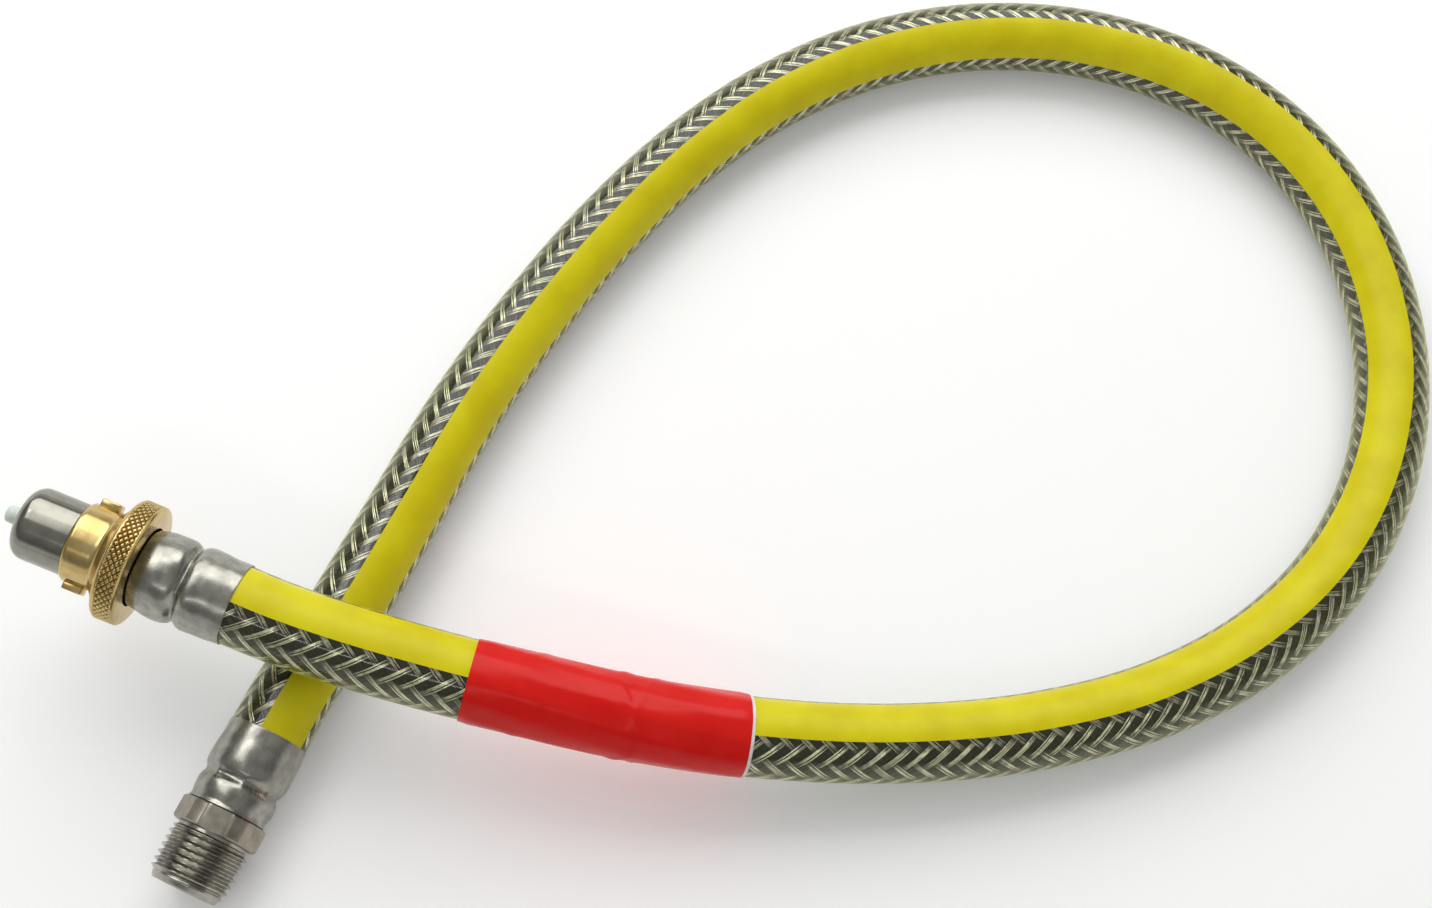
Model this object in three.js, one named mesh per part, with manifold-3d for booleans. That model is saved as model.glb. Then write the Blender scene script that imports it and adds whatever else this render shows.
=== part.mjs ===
// Flexible cooker hose, lying on the floor in one loose loop that passes over itself.
// Millimetres, +Z up, floor at z = 0. The origin is under the middle of the two end fittings.
// The bayonet plug leads off towards -X, the threaded end towards -Y, and the loop lies to +X.

import * as THREE from 'three';
import { mergeVertices } from 'three/addons/utils/BufferGeometryUtils.js';
import Module from 'manifold-3d';

const wasm = await Module();
wasm.setup();

const TURN = 2 * Math.PI;
const degrees = (angle) => (angle * Math.PI) / 180;

// Driving dimensions. Heights along a fitting are measured from its ferrule's mouth outwards.

// Gap between pieces that are clamped, screwed or crimped together.
const fit_gap = 0.2;
// Radial play of a piece that turns or slides on another.
const running_play = 0.08;

const hose = {
  outer_radius: 10.25,
  jacket_inner_radius: 8.8,
  braid_outer_radius: 8.7,
  braid_inner_radius: 8.3,
  liner_outer_radius: 8.2,
  bore_radius: 6.6,
  sides: 8,
  free_steps: 48,
  straight_lead: 12,
};

const label = {
  from_mouth: 64,
  length: 74,
  slack: 0.45,
  thickness: 0.3,
  sides: 20,
  steps: 6,
};

const plug = {
  mouth: [20.6, 21.3, 34.1],
  heading: 159.8,
  tip_rise: 6,
  nose_radius: 9.4,
  nose_face: 56.3,
  nose_edge: 3.6,
  shoulder: 41.9,
  journal_radius: 8.3,
  back_face: 27.8,
  socket_radius: 6.5,
  socket_end: 35.1,
  chamber_radius: 6,
  seat: 50.2,
  front_hole_radius: 3,
};

const collar = {
  flange_radius: 15.7,
  flange_back: 24.9,
  flange_length: 5.4,
  sleeve_radius: 10.3,
  throat: 30.6,
  knurl_depth: 0.35,
  knurl_rows: 5,
  knurl_around: 72,
  lug_reach: 12,
  lug_length: 5,
  lug_width: 5,
  lug_from: 35.5,
  lug_turn: 10.7,
};

// Open spring ring in a groove of the journal; it stands out of it as the collar's stop.
const circlip = {
  groove_depth: 0.8,
  stand_out: 1.4,
  room: 0.7,
  thickness: 0.8,
  opening: 40,
};
circlip.groove_radius = plug.journal_radius - circlip.groove_depth;
circlip.outer_radius = plug.journal_radius + circlip.stand_out;

const valve = {
  pin_radius: 2.2,
  pin_reach: 4.4,
  travel: 2.6,
  disc_radius: 5.3,
  disc_thickness: 2.8,
  stem_radius: 1.8,
  seal_radius: 4.3,
  seal_section: 0.8,
  spring_radius: 3.9,
  spring_wire: 0.45,
  spring_turns: 3.5,
  retainer_thickness: 1.5,
  retainer_holes: 4,
  retainer_hole_radius: 1.1,
};

// Pressed ferrules: radii of the mouth, the bulges, the rolled groove and the end by the body.
const ferrule_wall = 0.85;
const plug_cup = {
  mouth_radius: 10.5,
  bulge_radius: 10.85,
  groove_radius: 9.75,
  groove_at: 12.9,
  shoulder_at: 19.4,
  neck_radius: 9.35,
};
const thread_cup = {
  mouth_radius: 10.45,
  bulge_radius: 10.8,
  groove_radius: 9.75,
  groove_at: 13.6,
  second_bulge_radius: 10.45,
  second_bulge_at: 18,
  rim_radius: 10.3,
};
const tail_bore = 4.2;
const tail_radius = 5.9;
const barb_depth = 0.6;
const barb_pitch = 5;

const thread_end = {
  mouth: [27, -6.2],
  heading: -114,
  across_flats: 21,
  corner_radius: 11.2,
  hex_turn: 8,
  hex_from: 21.5,
  hex_length: 6.2,
  gauge_radius: 10.477,
  pitch: 1.814,
  thread_depth: 1.16,
  taper: 1 / 32,
  undercut_length: 1,
  thread_to: 42.4,
  end_chamfer: 1.2,
  bore_radius: 6.6,
};

// Making solids.

// Joins equal vertices and drops the flat triangles that a lathe leaves on its axis.
function welded(geometry) {
  const plain = geometry.clone();
  plain.deleteAttribute('normal');
  plain.deleteAttribute('uv');
  const joined = mergeVertices(plain, 1e-4);
  const kept = [];
  const index = joined.index.array;
  for (let i = 0; i < index.length; i += 3) {
    const [a, b, c] = [index[i], index[i + 1], index[i + 2]];
    if (a !== b && b !== c && c !== a) {
      kept.push(a, b, c);
    }
  }
  joined.setIndex(kept);
  return joined;
}

function solid_of(geometry) {
  const closed = welded(geometry);
  return new wasm.Manifold(new wasm.Mesh({
    numProp: 3,
    vertProperties: new Float32Array(closed.attributes.position.array),
    triVerts: new Uint32Array(closed.index.array),
  }));
}

function geometry_of(solid) {
  const mesh = solid.getMesh();
  const geometry = new THREE.BufferGeometry();
  geometry.setAttribute('position', new THREE.BufferAttribute(new Float32Array(mesh.vertProperties), 3));
  geometry.setIndex(new THREE.BufferAttribute(new Uint32Array(mesh.triVerts), 1));
  return geometry;
}

// A turned piece about the local Y axis, from [radius, along] points in counterclockwise order.
// reshape(radius, along, angle) gives a vertex its final radius.
function turned(profile, segments = 36, reshape = null) {
  const points = profile.map(([radius, along]) => new THREE.Vector2(radius, along));
  const ends_on_axis = profile[0][0] === 0 && profile[profile.length - 1][0] === 0;
  if (!ends_on_axis) {
    points.push(points[0].clone());
  }
  const geometry = welded(new THREE.LatheGeometry(points, segments));
  if (reshape) {
    const position = geometry.attributes.position;
    for (let i = 0; i < position.count; i += 1) {
      const radius = Math.hypot(position.getX(i), position.getZ(i));
      const angle = Math.atan2(position.getX(i), position.getZ(i));
      const scale = reshape(radius, position.getY(i), angle) / radius;
      position.setX(i, position.getX(i) * scale);
      position.setZ(i, position.getZ(i) * scale);
    }
  }
  return geometry;
}

// A flat outline laid across the local Y axis, with its thickness from one height up.
function plate(shape, from, thickness) {
  const geometry = new THREE.ExtrudeGeometry(shape, { depth: thickness, bevelEnabled: false });
  geometry.rotateX(-Math.PI / 2);
  geometry.translate(0, from, 0);
  return geometry;
}

function polygon(radius, sides) {
  return Array.from({ length: sides }, (unused, i) => {
    const angle = (TURN * i) / sides;
    return new THREE.Vector2(radius * Math.cos(angle), radius * Math.sin(angle));
  });
}

// A pipe wall swept along a curve.
function pipe(curve, outer_radius, inner_radius, sides, steps) {
  const section = new THREE.Shape(polygon(outer_radius, sides));
  section.holes.push(new THREE.Path(polygon(inner_radius, sides)));
  return new THREE.ExtrudeGeometry(section, { steps, extrudePath: curve, bevelEnabled: false });
}

// Where the two ends lie.

// The frame of a fitting: origin in its ferrule's mouth, local Y out towards its tip, local Z upward.
function fitting_frame(mouth, heading, rise) {
  const along = new THREE.Vector3(
    Math.cos(degrees(heading)) * Math.cos(degrees(rise)),
    Math.sin(degrees(heading)) * Math.cos(degrees(rise)),
    Math.sin(degrees(rise)),
  );
  const across = new THREE.Vector3().crossVectors(along, new THREE.Vector3(0, 0, 1)).normalize();
  const upward = new THREE.Vector3().crossVectors(across, along);
  const matrix = new THREE.Matrix4().makeBasis(across, along, upward);
  return { matrix: matrix.setPosition(mouth), mouth, along };
}

const plug_frame = fitting_frame(new THREE.Vector3(...plug.mouth), plug.heading, plug.tip_rise);
// The threaded end lies on the edge of one of its hexagon's flats, as the hose holds it a little
// turned.
const half_flat = Math.acos(thread_end.across_flats / 2 / thread_end.corner_radius);
const thread_height = thread_end.corner_radius * Math.cos(half_flat - degrees(thread_end.hex_turn));
const thread_frame = fitting_frame(
  new THREE.Vector3(...thread_end.mouth, thread_height),
  thread_end.heading,
  0,
);

// The hose.

// Hand-laid route of the hose's centre between its two straight leads: over its own end, then
// down to the floor and once round the loop.
const floor_height = hose.outer_radius;
const route_between_leads = [
  [53.5, 10.8, 30.7],
  [86.9, 3.1, 27],
  [120.8, -3.3, 22.8],
  [155.3, -6.8, 18.4],
  [190.3, -6.6, 14.6],
  [225.6, -2.2, 11.7],
  [259.5, 7.3, 10.4],
  [290, 23.4, floor_height],
  [314.8, 47.1, floor_height],
  [331.5, 77.8, floor_height],
  [338.2, 112.7, floor_height],
  [333.8, 147.7, floor_height],
  [318.2, 178.2, floor_height],
  [292.9, 200.8, floor_height],
  [260.8, 213.4, floor_height],
  [225.8, 215.5, floor_height],
  [191.4, 207.9, floor_height],
  [160.1, 192, floor_height],
  [133.1, 170, floor_height],
  [109.6, 143.6, floor_height],
  [89.2, 114.9, floor_height],
  [71.3, 84.7, floor_height],
  [56.2, 53.5, floor_height],
  [41.3, 22.5, floor_height + 0.3],
];

// The route from a point in the plug's ferrule to a point in the other ferrule.
function hose_curve(insertion) {
  const lead = (frame, distance) => frame.mouth.clone().addScaledVector(frame.along, distance);
  const curve = new THREE.CatmullRomCurve3([
    lead(plug_frame, insertion),
    lead(plug_frame, insertion / 2),
    lead(plug_frame, 0),
    lead(plug_frame, -hose.straight_lead),
    ...route_between_leads.map((point) => new THREE.Vector3(...point)),
    lead(thread_frame, -hose.straight_lead),
    lead(thread_frame, 0),
    lead(thread_frame, insertion / 2),
    lead(thread_frame, insertion),
  ], false, 'centripetal');
  curve.arcLengthDivisions = 1500;
  return curve;
}

// The liner and the braid run on into both ferrules by just one step of the sweep, so that all
// three layers turn at the same places.
const steps_in_all = hose.free_steps + 2;
const rough_insertion = 17;
const free_length = hose_curve(rough_insertion).getLength() - 2 * rough_insertion;
const insertion = free_length / hose.free_steps;
const route = hose_curve(insertion);

// A stretch of the hose's route between two shares of its whole length.
class Stretch extends THREE.Curve {
  constructor(whole, from, to) {
    super();
    this.whole = whole;
    this.from = from;
    this.to = to;
    this.arcLengthDivisions = 1500;
  }

  getPoint(share, target = new THREE.Vector3()) {
    return this.whole.getPointAt(this.from + share * (this.to - this.from), target);
  }
}

const hose_liner = pipe(route, hose.liner_outer_radius, hose.bore_radius, hose.sides, steps_in_all);
const hose_braid = pipe(route, hose.braid_outer_radius, hose.braid_inner_radius, hose.sides, steps_in_all);

// The clear jacket is cut back and stops a fitting gap short of each ferrule.
const route_length = route.getLength();
const jacket_route = new Stretch(
  route,
  (insertion + fit_gap) / route_length,
  1 - (insertion + fit_gap) / route_length,
);
const hose_jacket = pipe(
  jacket_route,
  hose.outer_radius,
  hose.jacket_inner_radius,
  hose.sides,
  hose.free_steps,
);

const label_start = insertion + label.from_mouth;
const label_route = new Stretch(
  route,
  label_start / route_length,
  (label_start + label.length) / route_length,
);
const label_inner_radius = (hose.outer_radius + label.slack) / Math.cos(Math.PI / label.sides);
const label_wrap = pipe(
  label_route,
  label_inner_radius + label.thickness,
  label_inner_radius,
  label.sides,
  label.steps,
);

// Barbed tails.

// The outside of a barbed tail, from its free end up to a given height, as profile points.
function barbs(from, to) {
  const points = [[tail_bore, from], [tail_radius - barb_depth - 0.2, from]];
  for (let foot = from; foot + barb_pitch <= to; foot += barb_pitch) {
    points.push([tail_radius - barb_depth, foot + 0.2]);
    points.push([tail_radius, foot + barb_pitch - 0.4]);
    points.push([tail_radius, foot + barb_pitch - 0.1]);
  }
  points.push([tail_radius - barb_depth, to]);
  return points;
}

// Crimped ferrules.

const crimp_jaws = 8;

// Pressed cups with a rolled-in groove. The press has separate jaws, so the groove is deepest in
// the middle of each jaw and a low ridge stands between two jaws.
function crimped(outside, groove_at, end_hole_radius) {
  const last = outside[outside.length - 1][1];
  const wall_inside = outside
    .filter(([, along]) => along < last - ferrule_wall)
    .map(([radius, along]) => [radius - ferrule_wall, along])
    .reverse();
  const profile = [
    ...outside,
    [end_hole_radius, last],
    [end_hole_radius, last - ferrule_wall],
    [wall_inside[0][0], last - ferrule_wall],
    ...wall_inside,
  ];
  const jaw_mark = (radius, along, angle) => {
    const closeness = Math.exp(-(((along - groove_at) / 1.1) ** 2));
    const ridge = 0.5 - 0.5 * Math.cos(crimp_jaws * angle);
    return radius > hose.braid_outer_radius ? radius + 0.35 * closeness * ridge : radius;
  };
  return turned(profile, 4 * crimp_jaws, jaw_mark);
}

const plug_ferrule = crimped([
  [plug_cup.mouth_radius, 0],
  [plug_cup.mouth_radius + 0.1, 3.5],
  [plug_cup.bulge_radius, 7.5],
  [plug_cup.bulge_radius, plug_cup.groove_at - 2.7],
  [plug_cup.bulge_radius - 0.55, plug_cup.groove_at - 0.7],
  [plug_cup.groove_radius, plug_cup.groove_at],
  [plug_cup.bulge_radius - 0.55, plug_cup.groove_at + 0.7],
  [plug_cup.bulge_radius, plug_cup.groove_at + 2.3],
  [plug_cup.bulge_radius, plug_cup.shoulder_at],
  [plug_cup.bulge_radius - 0.25, plug_cup.shoulder_at + 1.8],
  [plug_cup.bulge_radius - 0.75, plug_cup.shoulder_at + 3.2],
  [plug_cup.neck_radius + 0.25, plug_cup.shoulder_at + 4.1],
  [plug_cup.neck_radius, plug_cup.shoulder_at + 5.1],
  [plug_cup.neck_radius, plug.back_face - fit_gap],
], plug_cup.groove_at, tail_radius + 0.8 + fit_gap);

const thread_ferrule = crimped([
  [thread_cup.mouth_radius, 0],
  [thread_cup.mouth_radius + 0.1, 3],
  [thread_cup.bulge_radius - 0.05, 7],
  [thread_cup.bulge_radius, thread_cup.groove_at - 3.3],
  [thread_cup.bulge_radius - 0.45, thread_cup.groove_at - 1.3],
  [thread_cup.groove_radius, thread_cup.groove_at],
  [thread_cup.groove_radius + 0.25, thread_cup.groove_at + 1],
  [thread_cup.second_bulge_radius - 0.05, thread_cup.second_bulge_at - 1.7],
  [thread_cup.second_bulge_radius, thread_cup.second_bulge_at],
  [thread_cup.rim_radius - 0.1, thread_cup.second_bulge_at + 1.6],
  [thread_cup.rim_radius - 0.3, thread_cup.second_bulge_at + 2.4],
  [thread_cup.rim_radius, thread_end.hex_from - fit_gap],
], thread_cup.groove_at, tail_radius + 0.8 + fit_gap);

// The bayonet plug.

// Turned steel body: closed rounded nose, journal for the collar, socket for the tail.
const nose_arc = Array.from({ length: 7 }, (unused, i) => {
  const angle = (Math.PI / 2) * (i / 6);
  return [
    plug.nose_radius - plug.nose_edge * (1 - Math.cos(angle)),
    plug.nose_face - plug.nose_edge * (1 - Math.sin(angle)),
  ];
});
const clip_back = collar.throat - fit_gap - circlip.thickness;
const plug_nose = turned([
  [plug.socket_radius, plug.back_face],
  [plug.journal_radius, plug.back_face],
  [plug.journal_radius, clip_back - fit_gap / 2],
  [circlip.groove_radius, clip_back - fit_gap / 2],
  [circlip.groove_radius, collar.throat - fit_gap / 2],
  [plug.journal_radius, collar.throat - fit_gap / 2],
  [plug.journal_radius, plug.shoulder],
  [plug.nose_radius - 0.2, plug.shoulder],
  [plug.nose_radius, plug.shoulder + 0.2],
  ...nose_arc,
  [plug.front_hole_radius + 0.4, plug.nose_face],
  [plug.front_hole_radius, plug.nose_face - 0.4],
  [plug.front_hole_radius, plug.seat],
  [plug.chamber_radius, plug.seat],
  [plug.chamber_radius, plug.socket_end],
  [plug.socket_radius, plug.socket_end],
]);

// Barbed tail screwed into the body; its shoulder clamps the ferrule's end against the body.
const ferrule_end = plug.back_face - fit_gap - ferrule_wall;
const plug_tail = turned([
  ...barbs(1.5, ferrule_end - 2.4),
  [tail_radius + 1.4, ferrule_end - 1.6],
  [tail_radius + 1.4, ferrule_end - fit_gap],
  [plug.socket_radius - fit_gap, ferrule_end - fit_gap],
  [plug.socket_radius - fit_gap, plug.socket_end - 0.1],
  [tail_bore, plug.socket_end - 0.1],
], 24);

// Nylon spindle: the pin that the socket pushes in, the valve disc and the guiding stem.
const disc_front = plug.seat - 2 * valve.seal_section - 2 * fit_gap;
const disc_back = disc_front - valve.disc_thickness;
const retainer_from = plug.socket_end + 0.1;
const pin_tip = plug.nose_face + valve.pin_reach;
const valve_spindle = turned([
  [0, retainer_from - 1.2],
  [valve.stem_radius, retainer_from - 1.2],
  [valve.stem_radius, disc_back],
  [valve.disc_radius, disc_back],
  [valve.disc_radius, disc_front],
  [valve.pin_radius, disc_front],
  [valve.pin_radius, pin_tip - 0.9],
  [valve.pin_radius - 0.3, pin_tip - 0.25],
  [valve.pin_radius - 0.9, pin_tip],
  [0, pin_tip],
], 32);

const seal_ring = Array.from({ length: 8 }, (unused, i) => {
  const angle = (TURN * i) / 8;
  return [
    valve.seal_radius + valve.seal_section * Math.cos(angle),
    disc_front + fit_gap + valve.seal_section * (1 + Math.sin(angle)),
  ];
});
const spindle_seal = turned(seal_ring, 28);

// Perforated disc that guides the stem and carries the spring.
const retainer_shape = new THREE.Shape(polygon(plug.chamber_radius - fit_gap, 36));
retainer_shape.holes.push(new THREE.Path(polygon(valve.stem_radius + running_play, 32)));
for (let i = 0; i < valve.retainer_holes; i += 1) {
  const angle = (TURN * (i + 0.5)) / valve.retainer_holes;
  const reach = (valve.stem_radius + plug.chamber_radius) / 2;
  const hole = polygon(valve.retainer_hole_radius, 12).map(
    (point) => new THREE.Vector2(point.x + reach * Math.cos(angle), point.y + reach * Math.sin(angle)),
  );
  retainer_shape.holes.push(new THREE.Path(hole));
}
const spring_retainer = plate(retainer_shape, retainer_from, valve.retainer_thickness);

// The spring is drawn at its pressed length, so that the disc never runs into it.
class Coil extends THREE.Curve {
  constructor(radius, from, to, turns) {
    super();
    this.radius = radius;
    this.from = from;
    this.to = to;
    this.turns = turns;
  }

  getPoint(share, target = new THREE.Vector3()) {
    const angle = TURN * this.turns * share;
    const height = this.from + share * (this.to - this.from);
    return target.set(this.radius * Math.cos(angle), height, this.radius * Math.sin(angle));
  }
}

const spring_foot = retainer_from + valve.retainer_thickness + valve.spring_wire + fit_gap;
const spring_top = disc_back - valve.travel - valve.spring_wire - fit_gap;
const valve_spring = new THREE.ExtrudeGeometry(new THREE.Shape(polygon(valve.spring_wire, 6)), {
  steps: Math.round(valve.spring_turns * 12),
  extrudePath: new Coil(valve.spring_radius, spring_foot, spring_top, valve.spring_turns),
  bevelEnabled: false,
});

// Open spring ring that keeps the collar on its journal.
const clip_inner = circlip.groove_radius + fit_gap / 2;
const clip_outline = new THREE.Shape();
const clip_from = degrees(circlip.opening / 2);
clip_outline.absarc(0, 0, circlip.outer_radius, clip_from, TURN - clip_from, false);
clip_outline.absarc(0, 0, clip_inner, TURN - clip_from, clip_from, true);
const collar_circlip = plate(clip_outline, clip_back, circlip.thickness);

// Brass collar: knurled grip flange, cone and plain sleeve, with two bayonet lugs.
const flange_front = collar.flange_back + collar.flange_length;
const knurl_from = collar.flange_back + 0.6;
const knurl_pitch = (collar.flange_length - 0.9) / collar.knurl_rows;
const knurl_lines = Array.from(
  { length: collar.knurl_rows + 1 },
  (unused, i) => [collar.flange_radius, knurl_from + i * knurl_pitch],
);
const sleeve_front = plug.shoulder - fit_gap;
const counterbore_radius = circlip.outer_radius + circlip.room;
const collar_profile = [
  [counterbore_radius, collar.flange_back],
  [collar.flange_radius - 0.8, collar.flange_back],
  ...knurl_lines,
  [collar.flange_radius - 0.9, flange_front + 1.1],
  [12.1, flange_front + 3],
  [10.6, flange_front + 4.8],
  [collar.sleeve_radius - 0.3, flange_front + 6],
  [collar.sleeve_radius, flange_front + 6.5],
  [collar.sleeve_radius, sleeve_front - 0.3],
  [collar.sleeve_radius - 0.3, sleeve_front],
  [plug.journal_radius + running_play, sleeve_front],
  [plug.journal_radius + running_play, collar.throat],
  [counterbore_radius, collar.throat],
];

// Diamond knurl: every second vertex of the grip's grid stands low.
function knurled(radius, along, angle) {
  if (Math.abs(radius - collar.flange_radius) > 0.01) {
    return radius;
  }
  const row = Math.round((along - knurl_from) / knurl_pitch);
  const place = Math.round((angle * collar.knurl_around) / TURN);
  return (row + place) % 2 === 0 ? radius : radius - collar.knurl_depth;
}

// One lug points to each side, standing up from inside the sleeve's wall.
function bayonet_lug(side) {
  const root = plug.journal_radius + 1;
  const height = collar.lug_reach - root;
  const block = new THREE.BoxGeometry(height, collar.lug_length, collar.lug_width);
  block.translate(side * (root + height / 2), collar.lug_from + collar.lug_length / 2, 0);
  block.rotateY(-degrees(collar.lug_turn));
  return solid_of(block);
}

const collar_body = solid_of(turned(collar_profile, collar.knurl_around, knurled));
const bayonet_collar = geometry_of(collar_body.add(bayonet_lug(1)).add(bayonet_lug(-1)));

// The threaded end.

const hex_to = thread_end.hex_from + thread_end.hex_length;
const thread_from = hex_to + thread_end.undercut_length;
const root_radius = thread_end.gauge_radius - thread_end.thread_depth - 0.25;

// Taper pipe thread: V ridges along a helix, on a core that narrows towards the tip.
const rows_a_pitch = 4;
const thread_end_at = thread_end.thread_to - thread_end.end_chamfer;
const thread_rows = Math.floor((thread_end_at - thread_from) / (thread_end.pitch / rows_a_pitch));
const thread_lines = Array.from({ length: thread_rows + 1 }, (unused, i) => {
  const along = thread_from + ((thread_end_at - thread_from) * i) / thread_rows;
  return [thread_end.gauge_radius - (along - thread_from) * thread_end.taper, along];
});

function threaded(radius, along, angle) {
  const on_thread = along > thread_from - 0.01 && along < thread_end_at + 0.01;
  if (!on_thread || radius < root_radius) {
    return radius;
  }
  const phase = (((along / thread_end.pitch - angle / TURN) % 1) + 1) % 1;
  const ridge = 1 - Math.abs(2 * phase - 1);
  const run_in = Math.min(1, (thread_end_at - along) / thread_end.pitch + 0.2);
  return radius - thread_end.thread_depth * (1 - ridge * run_in);
}

const ferrule_stop = thread_end.hex_from - fit_gap - ferrule_wall;
const thread_core = solid_of(turned([
  ...barbs(1.5, ferrule_stop - 2.4),
  [tail_radius + 1.4, ferrule_stop - 1.6],
  [tail_radius + 1.4, ferrule_stop - fit_gap],
  [tail_radius + 0.8, ferrule_stop - fit_gap],
  [tail_radius + 0.8, hex_to - 1],
  [root_radius, hex_to - 1],
  [root_radius, thread_from - 0.1],
  ...thread_lines,
  [root_radius - 0.6, thread_end.thread_to],
  [thread_end.bore_radius, thread_end.thread_to],
  [thread_end.bore_radius, thread_from - 2],
  [tail_bore, thread_from - 4.4],
], 36, threaded));

// Hexagon near one flat down, its corners turned off round and chamfered on both faces.
const hex_corner = thread_end.across_flats / 2 / Math.cos(Math.PI / 6);
const hex_outline = new THREE.Shape(polygon(hex_corner, 6));
hex_outline.holes.push(new THREE.Path(polygon(tail_radius, 48)));
const hex_block = plate(hex_outline, thread_end.hex_from, thread_end.hex_length);
hex_block.rotateY(degrees(thread_end.hex_turn));
const hex_prism = solid_of(hex_block);
const hex_envelope = solid_of(turned([
  [0, thread_end.hex_from],
  [thread_end.corner_radius - 1, thread_end.hex_from],
  [thread_end.corner_radius, thread_end.hex_from + 0.6],
  [thread_end.corner_radius, hex_to - 0.6],
  [thread_end.corner_radius - 1, hex_to],
  [0, hex_to],
], 48));
const thread_fitting = geometry_of(thread_core.add(hex_prism.intersect(hex_envelope)));

// Assembly.

const materials = {
  steel: { color: 0xb9b7b0, roughness: 0.35, metalness: 1 },
  pressed_steel: { color: 0xa9aaa6, roughness: 0.3, metalness: 1 },
  nickel: { color: 0xb8b2a4, roughness: 0.3, metalness: 1 },
  brass: { color: 0xd6b25e, roughness: 0.3, metalness: 1 },
  nylon: { color: 0xdfe6de, roughness: 0.5, metalness: 0 },
  seal: { color: 0x1d1e20, roughness: 0.7, metalness: 0 },
  liner: { color: 0x2b2b29, roughness: 0.8, metalness: 0 },
  braid: { color: 0xb3b0a0, roughness: 0.4, metalness: 1 },
  jacket: { color: 0xd6cf1e, roughness: 0.25, metalness: 0, transparent: true, opacity: 0.5 },
  label: { color: 0xd81e1e, roughness: 0.45, metalness: 0 },
};

const group = new THREE.Group();
group.name = 'flexible_gas_hose';

function add(name, geometry, material, frame = null) {
  const mesh = new THREE.Mesh(geometry, new THREE.MeshStandardMaterial(materials[material]));
  if (frame) {
    geometry.applyMatrix4(frame.matrix);
  }
  geometry.computeVertexNormals();
  mesh.name = name;
  group.add(mesh);
}

add('plug_nose', plug_nose, 'steel', plug_frame);
add('plug_tail', plug_tail, 'steel', plug_frame);
add('plug_ferrule', plug_ferrule, 'pressed_steel', plug_frame);
add('bayonet_collar', bayonet_collar, 'brass', plug_frame);
add('collar_circlip', collar_circlip, 'steel', plug_frame);
add('valve_spindle', valve_spindle, 'nylon', plug_frame);
add('spindle_seal', spindle_seal, 'seal', plug_frame);
add('valve_spring', valve_spring, 'steel', plug_frame);
add('spring_retainer', spring_retainer, 'brass', plug_frame);
add('hose_liner', hose_liner, 'liner');
add('hose_braid', hose_braid, 'braid');
add('hose_jacket', hose_jacket, 'jacket');
add('label', label_wrap, 'label');
add('thread_fitting', thread_fitting, 'nickel', thread_frame);
add('thread_ferrule', thread_ferrule, 'pressed_steel', thread_frame);

export default group;
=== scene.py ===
"""Looks for the flexible cooker hose: one loose loop on a pale floor. Metres, in the CAD's frame."""

import math

import bpy
import numpy as np
from mathutils import Matrix, Vector


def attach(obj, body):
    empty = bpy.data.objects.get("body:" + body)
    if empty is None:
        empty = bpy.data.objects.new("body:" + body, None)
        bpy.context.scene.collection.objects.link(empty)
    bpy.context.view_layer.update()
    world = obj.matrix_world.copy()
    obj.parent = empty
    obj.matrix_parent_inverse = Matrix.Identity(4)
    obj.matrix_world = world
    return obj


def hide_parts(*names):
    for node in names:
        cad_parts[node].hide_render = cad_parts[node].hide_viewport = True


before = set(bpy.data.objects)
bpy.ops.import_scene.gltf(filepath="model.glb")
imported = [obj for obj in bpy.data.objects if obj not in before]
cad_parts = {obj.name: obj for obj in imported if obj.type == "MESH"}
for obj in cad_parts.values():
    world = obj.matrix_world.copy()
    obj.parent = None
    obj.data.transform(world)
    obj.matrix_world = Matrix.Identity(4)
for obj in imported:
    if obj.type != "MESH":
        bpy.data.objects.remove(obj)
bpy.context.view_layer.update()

MM = 0.001
TURN = 2 * math.pi


# Where things are, repeated from the CAD source in millimetres.

PLUG_MOUTH = (20.6, 21.3, 34.1)
PLUG_HEADING = 159.8
PLUG_TIP_RISE = 6.0
THREAD_MOUTH = (27, -6.2, 10.94)
THREAD_HEADING = -114.0
STRAIGHT_LEAD = 12.0

HOSE_RADIUS = 10.25
BRAID_RADIUS = 8.45
CORE_RADIUS = 8.0

# Centres of the hose from the plug to the thread; LYING is their height on the floor.
LYING = HOSE_RADIUS
ROUTE_BETWEEN_LEADS = [
    (53.5, 10.8, 30.7),
    (86.9, 3.1, 27),
    (120.8, -3.3, 22.8),
    (155.3, -6.8, 18.4),
    (190.3, -6.6, 14.6),
    (225.6, -2.2, 11.7),
    (259.5, 7.3, 10.4),
    (290, 23.4, LYING),
    (314.8, 47.1, LYING),
    (331.5, 77.8, LYING),
    (338.2, 112.7, LYING),
    (333.8, 147.7, LYING),
    (318.2, 178.2, LYING),
    (292.9, 200.8, LYING),
    (260.8, 213.4, LYING),
    (225.8, 215.5, LYING),
    (191.4, 207.9, LYING),
    (160.1, 192, LYING),
    (133.1, 170, LYING),
    (109.6, 143.6, LYING),
    (89.2, 114.9, LYING),
    (71.3, 84.7, LYING),
    (56.2, 53.5, LYING),
    (41.3, 22.5, LYING + 0.3),
]


# Camera: the photograph's view, 68 degrees down onto the floor.

camera_data = bpy.data.cameras.new("camera")
camera_data.sensor_width = 36
camera_data.lens = 42.74
camera = bpy.data.objects.new("camera", camera_data)
camera.location = (0.1117, -0.0984, 0.4466)
camera.rotation_euler = (math.radians(21.535), math.radians(-3.856), 0)
bpy.context.scene.collection.objects.link(camera)
bpy.context.scene.camera = camera


# Mesh helpers.


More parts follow.
